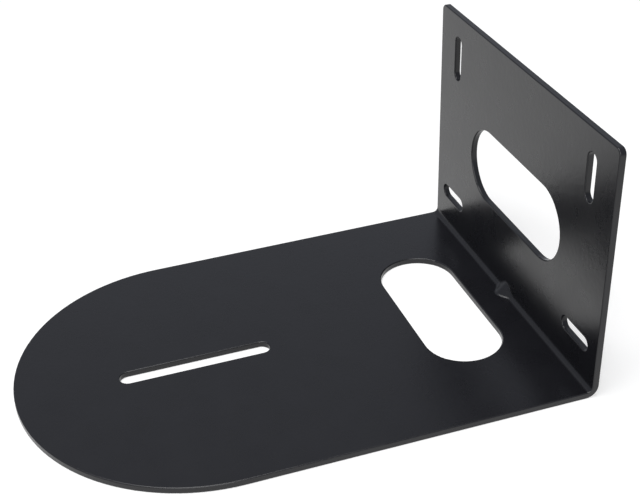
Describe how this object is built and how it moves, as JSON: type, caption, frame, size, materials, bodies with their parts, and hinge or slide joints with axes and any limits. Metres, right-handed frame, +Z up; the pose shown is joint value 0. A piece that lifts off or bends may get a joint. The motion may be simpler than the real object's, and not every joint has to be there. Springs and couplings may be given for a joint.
{
  "type": "camera wall mount",
  "caption": "Black folded-steel wall bracket: a round-fronted shelf with a slot for the camera screw, and a wall plate with cable openings and screw slots.",
  "frame": {"origin": "middle of the wall plate's back face, which lies on the wall", "axes": "+X across the width, +Y into the wall (square to the wall plate's back face), +Z up; the shelf reaches towards -Y"},
  "size_m": [0.16, 0.234, 0.117],
  "materials": {
    "powder_coat": "fine satin black powder coat on steel"
  },
  "bodies": {
    "root": {"bracket": "powder_coat"}
  },
  "joints": []
}
